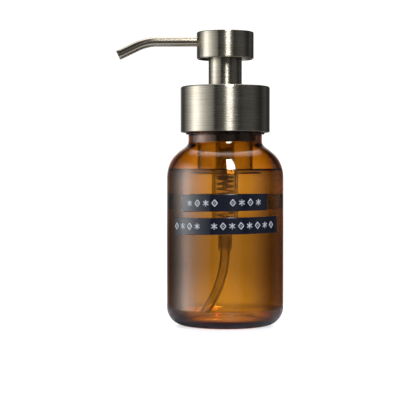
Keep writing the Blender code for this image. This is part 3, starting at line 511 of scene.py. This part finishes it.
def spring_steel():
    finish = Finish("spring_steel_fine", (0.58, 0.58, 0.58), 0.25, Metallic=1.0)
    drawn = finish.noise(2.0, detail=3.0)
    finish.colour(finish.ramp(drawn, (0.3, (0.30, 0.30, 0.30)), (0.7, (0.44, 0.44, 0.45))))
    finish.rough(drawn, 0.18, 0.34)
    return finish.material


def nylon_net():
    finish = Finish("nylon_net_fine", (0.82, 0.82, 0.80), 0.5)
    weave = finish.node("ShaderNodeTexChecker")
    weave.inputs["Scale"].default_value = 6.0
    finish.link(finish.place(), weave.inputs["Vector"])
    finish.colour(finish.mixed(weave.outputs["Fac"], (0.78, 0.78, 0.76), (0.88, 0.88, 0.86)))
    finish.bump(weave.outputs["Fac"], 0.3, 0.05)
    return finish.material


# ----------------------------------------------------------------- the bottle
def shoulder_curve(body, neck, start, height, steps):
    def at(inwards, up):
        return (body + (neck - body) * inwards, start + height * up)

    crown = bezier(at(0, 0), at(0, 0.44), at(0.35, 0.652), at(0.7615, 0.8195), steps)
    fillet = bezier(at(0.7615, 0.8195), at(0.887, 0.873), at(1, 0.922), at(1, 1), steps // 2)
    return crown + fillet[1:]


def glass_outline():
    foot = bezier((0, PUSH_UP), (12, PUSH_UP), (FOOT_RADIUS - 5, 0.05), (FOOT_RADIUS, 0.0), 10)
    heel = arc((BODY_RADIUS - HEEL_RADIUS, HEEL_RADIUS), HEEL_RADIUS, -90, 0, 14)
    outside = foot + heel
    outside += shoulder_curve(BODY_RADIUS, NECK_RADIUS, SHOULDER_START, SHOULDER_HEIGHT, 16)
    bead = arc((BEAD_RADIUS - 0.6, BEAD_BOTTOM + 0.65), 0.6, -90, 90, 8)
    outside += [(NECK_RADIUS, BEAD_BOTTOM - 0.25), (NECK_RADIUS + 0.15, BEAD_BOTTOM)] + bead
    outside += [(FINISH_RADIUS + 0.15, BEAD_TOP), (FINISH_RADIUS, BEAD_TOP + 0.2)]
    rows = 44
    low = BEAD_TOP + 0.2
    high = RIM - 0.7
    outside += [(FINISH_RADIUS, low + (high - low) * i / rows) for i in range(1, rows + 1)]
    outside += arc((FINISH_RADIUS - LIP_RADIUS, RIM - LIP_RADIUS), LIP_RADIUS, 0, 90, 4)
    return outside


def cavity_outline():
    """The bottle's inner wall from the mouth down to the floor."""
    inner = BODY_RADIUS - BODY_WALL
    start = SHOULDER_START - 1.5
    height = SHOULDER_START + SHOULDER_HEIGHT - 1.0 - start
    heel = HEEL_RADIUS - 2.0 * BODY_WALL
    wall = arc((NECK_BORE + LIP_RADIUS, RIM - LIP_RADIUS), LIP_RADIUS, 90, 180, 4)
    wall += shoulder_curve(inner, NECK_BORE, start, height, 16)[::-1]
    wall += arc((inner - heel, FLOOR_THICKNESS + heel), heel, 0, -90, 12)
    level = FLOOR_THICKNESS
    crown = level + 0.5
    wall += bezier((inner - heel, level), (14, level), (8, crown - 0.1), (0, crown), 8)[1:]
    return wall


def thread_laps(angle, height, first_turn=0.0, lowered=0.0):
    """For each lap of the thread at a bearing: its fading, and how far from its crest a height is."""
    for lap in (0, 1):
        turns = lap + angle / math.tau
        if first_turn <= turns <= THREAD_TURNS:
            fade = min(1.0, (turns - first_turn) / THREAD_RUN_IN, (THREAD_TURNS - turns) / THREAD_RUN_IN)
            yield fade, abs(height - THREAD_BOTTOM - (turns - lowered) * THREAD_PITCH)


def thread_swell(angle, radius, height):
    """The height of the thread's ridge over the finish, where the outline is the finish's own."""
    if abs(radius - FINISH_RADIUS) > 1e-6 or height < BEAD_TOP + 0.3 or height > RIM - 0.6:
        return 0.0
    swell = 0.0
    for fade, off in thread_laps(angle, height):
        ridge = min(1.0, max(0.0, (1.3 - off) / 0.65))
        swell = max(swell, THREAD_DEPTH * fade * ridge * ridge * (3 - 2 * ridge))
    return swell


def make_bottle(finish):
    outline = glass_outline() + cavity_outline()
    glass = turned("glass_bottle", outline, FINE, swell=thread_swell, smooth_angle=50)
    dress(glass, "bottle", finish["glass"], "bottle")


def make_soap(finish):
    """The soap that fills the bottle, sunk a hair into the glass so that no air shows between."""
    overlap = 0.04
    wall = [p for p in cavity_outline() if p[1] < SOAP_LEVEL - 1.0]
    side = [(r + overlap if r > 0 else r, z - overlap) for r, z in wall]
    top = side[0][0]
    flat = SOAP_LEVEL - SOAP_MENISCUS
    surface = bezier((0, flat), (top - 4, flat), (top - 1.0, flat), (top - 0.1, SOAP_LEVEL), 14)
    surface.append((top, SOAP_LEVEL - 0.4))
    liquid = turned("liquid_soap", surface + side, FINE, smooth_angle=50)
    dress(liquid, "bottle", finish["soap"], slot="amber_glass")


# ------------------------------------------------------------------ label tapes
def tape_piece(name, centre, span, rise, steps):
    """A strip bent round the glass, with its long edges rounded over."""
    half = TAPE_WIDTH / 2
    edge = 0.16
    corner = [(edge * math.sin(a), edge * math.cos(a)) for a in (0.0, 0.8, math.pi / 2)]
    low = [(TAPE_OUTER - edge + out, -half + edge - up) for out, up in corner]
    high = [(TAPE_OUTER - edge + out, half - edge + up) for out, up in corner[::-1]]
    flat = [(TAPE_OUTER, height) for height in (-half + 0.4, -half + 0.8, 0.0, half - 0.8, half - 0.4)]
    section = [(TAPE_INNER, -half)] + low + flat + high + [(TAPE_INNER, half)]

    def ring(angle):
        points = []
        for radius, height in section:
            x = radius * math.sin(angle)
            points.append((x, -radius * math.cos(angle), centre + height + rise * x))
        return points

    angles = [math.radians(span[0] + (span[1] - span[0]) * i / steps) for i in range(steps + 1)]
    return skinned(name, [ring(angle) for angle in angles], smooth_angle=50)


def mark_mesh(name, surface, marks):
    """Raised strokes on a tape. surface(along_mm, up_mm, out_mm) gives a point over the tape."""
    profile = [(-1.0, 0.0), (-0.62, 0.75), (0.0, 1.0), (0.62, 0.75), (1.0, 0.0)]
    width = len(profile)
    rings = 6
    round_end = 0.15
    verts = []
    faces = []
    for kind, start in marks:
        for x0, y0, x1, y1 in MARK_STROKES[kind]:
            a = Vector((start + x0 * MARK_WIDTH, (y0 - 0.5) * MARK_HEIGHT))
            b = Vector((start + x1 * MARK_WIDTH, (y1 - 0.5) * MARK_HEIGHT))
            along = (b - a).normalized()
            across = Vector((-along.y, along.x))
            a = a - along * round_end
            b = b + along * round_end
            base = len(verts)
            for i in range(rings + 1):
                t = i / rings
                end_fade = min(1.0, 0.35 + 4 * min(t, 1 - t))
                for offset, share in profile:
                    point = a.lerp(b, t) + across * offset * MARK_STROKE / 2 * (0.8 + 0.2 * end_fade)
                    verts.append(surface(point.x, point.y, MARK_RAISE * share * end_fade))
            for i in range(rings):
                low = base + i * width
                high = low + width
                for k in range(width - 1):
                    faces.append((low + k, low + k + 1, high + k + 1, high + k))
                faces.append((low, high, high + width - 1, low + width - 1))
            faces.append(tuple(range(base, base + width)))
            faces.append(tuple(range(base + rings * width, base + (rings + 1) * width)))
    return new_piece(name, verts, faces, 50)


def make_tapes(finish):
    """The three strips, matt where they are glued, and the raised marks on the two at the front."""
    for name, span, tilt, marks, first, step in TAPES:
        low, high = box_mm(name)
        centre = (low[2] + high[2]) / 2
        rise = math.tan(math.radians(tilt))
        centre -= rise * (low[0] + high[0]) / 2
        strip = tape_piece(name + "_fine", centre, span, rise, 72)
        dress(strip, "bottle", finish["tape"], name)
        strip.data.materials.append(finish["glued"])
        for face in strip.data.polygons:
            radii = [math.hypot(*strip.data.vertices[v].co[:2]) / MM for v in face.vertices]
            face.material_index = 1 if max(radii) < TAPE_INNER + 0.01 else 0

        def over(along, up, out, centre=centre, rise=rise):
            radius = TAPE_OUTER - 0.03 + out
            angle = along / TAPE_OUTER
            x = radius * math.sin(angle)
            return (x, -radius * math.cos(angle), centre + up + rise * x)

        placed = [(kind, first + step * i) for i, kind in enumerate(marks) if kind]
        if placed:
            crests = mark_mesh(name + "_marks", over, placed)
            dress(crests, "bottle", finish["crest"], slot="label_tape")


# -------------------------------------------------------------------- the brass
def make_brass(finish):
    """The collar, the stem and the head, whose wall has a hole that the spout goes through."""
    fine_copy("collar_shell", "collar", finish["brass"], 0.35, FINE)
    fine_copy("stem_sleeve", "head", finish["brass"], 0.15, 96)
    outline, closed = profile_of("head_shell")
    shell = turned("head_shell_fine", rounded(outline, 0.3, closed, 4), 128)
    clearance = 0.12
    spout_radius = (SPOUT_HIGH[1] - SPOUT_LOW[1]) / 2
    height = SPOUT_HIGH[2] - spout_radius
    ends = [Vector((HEAD_SIDE + x, 0, height)) for x in (-5, 6)]
    hole_radius = spout_radius + clearance
    cutter = skinned("hole", [circle(end, ALONG_Y, ALONG_Z, hole_radius, 40) for end in ends])
    cut = shell.modifiers.new("hole", "BOOLEAN")
    cut.operation = "DIFFERENCE"
    cut.object = cutter
    apply_modifiers(shell)
    bpy.data.objects.remove(cutter, do_unlink=True)
    shell.data.set_sharp_from_angle(angle=math.radians(30))
    dress(shell, "head", finish["brass"], "head_shell")


def apply_modifiers(piece):
    """Replaces the piece's mesh with its evaluated one."""
    graph = bpy.context.evaluated_depsgraph_get()
    result = bpy.data.meshes.new_from_object(piece.evaluated_get(graph))
    piece.modifiers.clear()
    piece.data = result
    result.shade_smooth()


def make_spout(finish):
    """The spout's thin tube, drawn once round its outside and back along its bore."""
    radius = (SPOUT_HIGH[1] - SPOUT_LOW[1]) / 2
    height = SPOUT_HIGH[2] - radius
    bend = math.radians(SPOUT_BEND_ANGLE)
    bend_start = SPOUT_REACH - SPOUT_BEND_RADIUS * math.sin(bend) - SPOUT_TIP_LENGTH * math.cos(bend)
    line = [(Vector((SPOUT_HIGH[0] - 0.02, 0, height)), ALONG_Z)]
    line += [(Vector((-x, 0, height)), ALONG_Z) for x in np.linspace(14, bend_start, 8)]
    bend_steps = 24
    for i in range(1, bend_steps + 1):
        turn = bend * i / bend_steps
        x = -bend_start - SPOUT_BEND_RADIUS * math.sin(turn)
        z = height - SPOUT_BEND_RADIUS * (1 - math.cos(turn))
        line.append((Vector((x, 0, z)), Vector((-math.sin(turn), 0, math.cos(turn)))))
    end, side = line[-1]
    along = Vector((-math.cos(bend), 0, -math.sin(bend)))
    line += [(end + along * SPOUT_TIP_LENGTH * t, side) for t in (0.4, 0.8, 0.985)]
    tip = end + along * SPOUT_TIP_LENGTH
    bore = radius - SPOUT_WALL
    stations = [(c, s, radius) for c, s in line]
    stations += [(tip - along * 0.06, side, radius - 0.05), (tip, side, radius - 0.2)]
    stations += [(tip, side, bore + 0.12), (tip - along * 0.15, side, bore)]
    stations += [(c, s, bore) for c, s in line[::-1]]
    rings = [circle(c, s, ALONG_Y, size, TUBE_SIDES) for c, s, size in stations]
    spout = skinned("spout_tube_fine", rings, looped=True)
    dress(spout, "head", finish["brass_tube"], "spout_tube")


# --------------------------------------------------------------- closure, pump
def make_closure(finish):
    """The plastic cap under the brass, with the thread inside its skirt."""
    bore = 21.3
    bottom = CAP_LOW[2]
    top = CAP_HIGH[2]
    panel = 124.3
    rows = 40
    low = bottom + 0.35
    high = panel - 0.4
    inside = [(bore, low + (high - low) * i / rows) for i in range(rows + 1)]
    lip = CAP_HIGH[0]
    outer = lip - 1.2
    guide = 9.75
    corners = [
        (bore + 0.3, bottom), (lip, bottom), (lip, bottom + 1.2),
        (outer, bottom + 1.4), (outer, top - 1.4),
        (lip, top - 1.2), (lip, top), (outer - 1.6, top),
        (outer - 1.6, panel + 1.6), (guide + 1.25, panel + 1.6), (guide + 1.25, top),
        (guide, top), (guide, panel), (bore - 0.3, panel),
    ]

    def swell(angle, radius, height):
        if abs(radius - bore) > 1e-6:
            return 0.0
        laps = thread_laps(angle, height, first_turn=0.25, lowered=0.5)
        return -max((fade * min(1.0, max(0.0, (0.9 - off) / 0.5)) for fade, off in laps), default=0.0)

    outline = rounded(corners, 0.15, False, 2)
    cap = turned("closure_cap_fine", outline + inside[::-1], FINE, swell=swell)
    dress(cap, "collar", finish["black"], "closure_cap")


def make_dip_tube(finish):
    """The soft tube, which leaves its stub straight and curls towards -X, as the CAD one does."""
    free = STUB_BOTTOM - DIP_TUBE_BOTTOM
    line = [(Vector((0, 0, DIP_TUBE_TOP)), Vector((1, 0, 0)))]
    steps = 40
    for i in range(steps + 1):
        share = i / steps
        lean = math.atan(2 * DIP_TUBE_REACH * share / free)
        side = Vector((math.cos(lean), 0, -math.sin(lean)))
        if i == steps:
            side = Vector((1 / math.cos(lean), 0, 0))  # cut level at its end
        line.append((Vector((-DIP_TUBE_REACH * share**2, 0, STUB_BOTTOM - free * share)), side))
    rings = [circle(c, s, ALONG_Y, DIP_TUBE_RADIUS, DIP_TUBE_SIDES) for c, s in line]
    rings += [circle(c, s, ALONG_Y, DIP_TUBE_BORE, DIP_TUBE_SIDES) for c, s in line[::-1]]
    tube = skinned("dip_tube_fine", rings, looped=True)
    dress(tube, "pump_unit", finish["natural"], "dip_tube")


def make_spring(finish):
    """The return spring, which has a closed turn at each end."""
    radius = (SPRING_HIGH[0] - SPRING_LOW[0]) / 2 - SPRING_WIRE
    bottom = SPRING_LOW[2]
    run = SPRING_LENGTH - 2 * SPRING_WIRE
    pitch = (run - 2 * SPRING_CLOSED_PITCH) / SPRING_ACTIVE_TURNS
    per_turn = 40
    rings = []
    for i in range(round((SPRING_ACTIVE_TURNS + 2) * per_turn) + 1):
        turns = i / per_turn
        opened = min(max(turns - 1, 0), SPRING_ACTIVE_TURNS)
        rise = opened * pitch + (turns - opened) * SPRING_CLOSED_PITCH
        angle = math.tau * turns
        out = Vector((math.cos(angle), math.sin(angle), 0))
        centre = radius * out + Vector((0, 0, bottom + SPRING_WIRE + rise))
        rings.append(circle(centre, out, ALONG_Z, SPRING_WIRE, WIRE_SIDES))
    coil = skinned("return_spring_fine", rings, smooth_angle=60)
    dress(coil, "pump_unit", finish["steel"], "return_spring")
    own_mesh(coil)


def make_pump(finish):
    for node, body, key, rounding in (
        ("neck_gasket", "gasket", "rubber", 0.15),
        ("pump_housing", "pump_unit", "natural", 0.25),
        ("neck_plug", "pump_unit", "black", 0.25),
        ("piston_rod", "head", "natural", 0.15),
        ("liquid_piston", "head", "natural", 0.12),
        ("valve_stem", "outlet_valve", "natural", 0.15),
        ("mesh_holder", "head", "natural", 0.12),
        ("air_check_disc", "plunger", "rubber", 0.08),
    ):
        fine_copy(node, body, finish[key], rounding)


def dress_cad_nodes(finish):
    """The small and hidden CAD nodes that stay as they are get the same finishes."""
    for node, key in (
        ("air_piston", "natural"),
        ("inlet_ball", "steel"),
        ("inlet_ball_cage", "natural"),
        ("head_core", "black"),
        ("mesh_coarse", "net"),
        ("mesh_fine", "net"),
        ("spout_seal", "rubber"),
    ):
        for slot in NODES[node].material_slots:
            slot.material = finish[key]


# ------------------------------------------------------------------- the studio
def make_world():
    """A dim studio: a wide soft light on the left, a slim one high by the camera, and a bright back.

    Bearings are in degrees from the camera's side, with rightwards as plus."""
    bearings = (
        (-180, 1.1), (-168, 0.8), (-163, 0.52), (-158, 0.30), (-152, 0.14), (-144, 0.09), (-133, 0.11),
        (-122, 0.33), (-112, 0.8), (-103, 1.5), (-95, 2.7), (-87, 4.2), (-78, 4.2), (-70, 3.2), (-61, 2.1),
        (-49, 1.25), (-37, 0.75), (-30, 0.45), (-26.5, 0.0), (-16, 0.14), (-4, 0.12), (23, 0.28), (37, 0.04),
        (50, 0.16), (74, 0.2), (102, 0.04), (122, 0.15), (146, 0.03), (156, 0.06), (162, 0.24), (168, 0.7),
        (180, 1.1),
    )
    heights = (
        (-90, 0.1), (-20, 0.4), (-8, 1.1), (-6, 1.15), (-4.4, 0.72), (-2.6, 0.72), (-1, 1.25), (6, 1.2),
        (16, 1.0), (36, 0.02), (90, 0.02),
    )
    slim_bearings = ((-180, 0.0), (3.5, 0.0), (5.5, 44.0), (19.5, 44.0), (22.0, 0.0), (180, 0.0))
    slim_heights = ((-90, 0.0), (22, 0.0), (27, 1.0), (62, 1.0), (66, 0.0), (90, 0.0))
    table_light = 1.2
    overhead_light = 2.9
    overhead_direction = (0.0, 0.34, 0.94)
    seen_white = 1.15
    strongest = max(value for _, value in bearings + slim_bearings)

    world = bpy.data.worlds.new("studio")
    bpy.context.scene.world = world
    world.use_nodes = True
    sky = Nodes(world.node_tree)
    direction = sky.node("ShaderNodeTexCoord").outputs["Generated"]
    split = sky.node("ShaderNodeSeparateXYZ")
    sky.link(direction, split.inputs[0])
    flip = sky.node("ShaderNodeMath", operation="MULTIPLY")
    flip.inputs[1].default_value = -1.0
    sky.link(split.outputs["Y"], flip.inputs[0])
    bearing = sky.node("ShaderNodeMath", operation="ARCTAN2")
    sky.link(split.outputs["X"], bearing.inputs[0])
    sky.link(flip.outputs[0], bearing.inputs[1])
    across = sky.span(bearing.outputs[0], (-math.pi, math.pi))
    elevation = sky.node("ShaderNodeMath", operation="ARCSINE")
    sky.link(split.outputs["Z"], elevation.inputs[0])
    up = sky.span(elevation.outputs[0], (-math.pi / 2, math.pi / 2))

    def by_bearing(stops):
        return sky.ramp(across, *[((b + 180) / 360, v / strongest) for b, v in stops])

    def by_height(stops):
        return sky.ramp(up, *[((e + 90) / 180, v) for e, v in stops])

    room = sky.mixed(1.0, by_bearing(bearings), by_height(heights), "MULTIPLY")
    slim = sky.mixed(1.0, by_bearing(slim_bearings), by_height(slim_heights), "MULTIPLY")
    room = sky.mixed(1.0, room, slim, "ADD")
    table = table_light / strongest
    room = sky.mixed(1.0, room, by_height(((-90, table), (-52, table), (-26, 0.0), (90, 0.0))), "ADD")
    lean = sky.node("ShaderNodeVectorMath", operation="DOT_PRODUCT")
    lean.inputs[1].default_value = overhead_direction
    sky.link(direction, lean.inputs[0])
    top = overhead_light / strongest
    overhead = sky.ramp(lean.outputs["Value"], (0.0, 0.0), (0.80, 0.0), (0.93, top), (1.0, top))
    lit = sky.mixed(1.0, room, overhead, "ADD")
    rays = sky.node("ShaderNodeLightPath")
    seen = sky.mixed(rays.outputs["Is Camera Ray"], lit, (seen_white / strongest,) * 3)
    background = sky.tree.nodes["Background"]
    sky.link(seen, background.inputs["Color"])
    background.inputs["Strength"].default_value = strongest


def make_floor():
    """A table top that the camera sees as white, and that melts into the room round the bottle."""
    finish = Finish("studio_floor", (0.24, 0.26, 0.30), 0.25, IOR=1.25, Emission_Strength=1.0)
    place = finish.node("ShaderNodeNewGeometry")
    reach = finish.node("ShaderNodeVectorMath", operation="LENGTH")
    finish.link(place.outputs["Position"], reach.inputs[0])
    fade = [distance * MM for distance in FLOOR_FADE]
    solid = finish.span(reach.outputs["Value"], fade, (1.0, 0.0), interpolation_type="SMOOTHSTEP")
    finish.link(solid, finish.shader.inputs["Alpha"])
    cloud = finish.noise(0.02, detail=1.0)
    finish.colour(finish.ramp(cloud, (0.3, (0.22, 0.24, 0.28)), (0.7, (0.26, 0.28, 0.32))))
    rays = finish.node("ShaderNodeLightPath")
    glow = finish.mixed(rays.outputs["Is Camera Ray"], (0.0, 0.0, 0.0), (0.68, 0.68, 0.68))
    finish.link(glow, finish.shader.inputs["Emission Color"])
    turns = [math.tau * k / 64 for k in range(64)]
    rim = [(FLOOR_RADIUS * math.cos(a), FLOOR_RADIUS * math.sin(a), 0) for a in turns]
    floor = new_piece("floor", rim, [tuple(range(64))])
    floor.data.materials.append(finish.material)


def make_camera():
    data = bpy.data.cameras.new("camera")
    data.lens = LENS
    data.sensor_width = 36.0
    data.clip_start = 0.01
    camera = bpy.data.objects.new("camera", data)
    camera.location = (0, -CAMERA_DISTANCE * MM, EYE_HEIGHT * MM)
    camera.rotation_euler = (math.radians(90 + PITCH), 0, math.radians(YAW))
    bpy.context.scene.collection.objects.link(camera)
    bpy.context.scene.camera = camera


def main():
    scene = bpy.context.scene
    scene.view_settings.view_transform = "Standard"
    scene.cycles.max_bounces = 24
    scene.cycles.transmission_bounces = 24
    make_camera()
    make_world()
    make_floor()
    finish = {
        "glass": amber_glass(),
        "soap": soap(),
        "tape": embossing_tape(),
        "glued": glued_side(),
        "crest": stretched_plastic(),
        "brass": brushed_brass(),
        "brass_tube": satin_brass(),
        "natural": natural_plastic(),
        "black": black_plastic(),
        "rubber": seal_rubber(),
        "steel": spring_steel(),
        "net": nylon_net(),
    }
    make_bottle(finish)
    make_soap(finish)
    make_tapes(finish)
    make_brass(finish)
    make_spout(finish)
    make_closure(finish)
    make_dip_tube(finish)
    make_spring(finish)
    make_pump(finish)
    dress_cad_nodes(finish)


main()
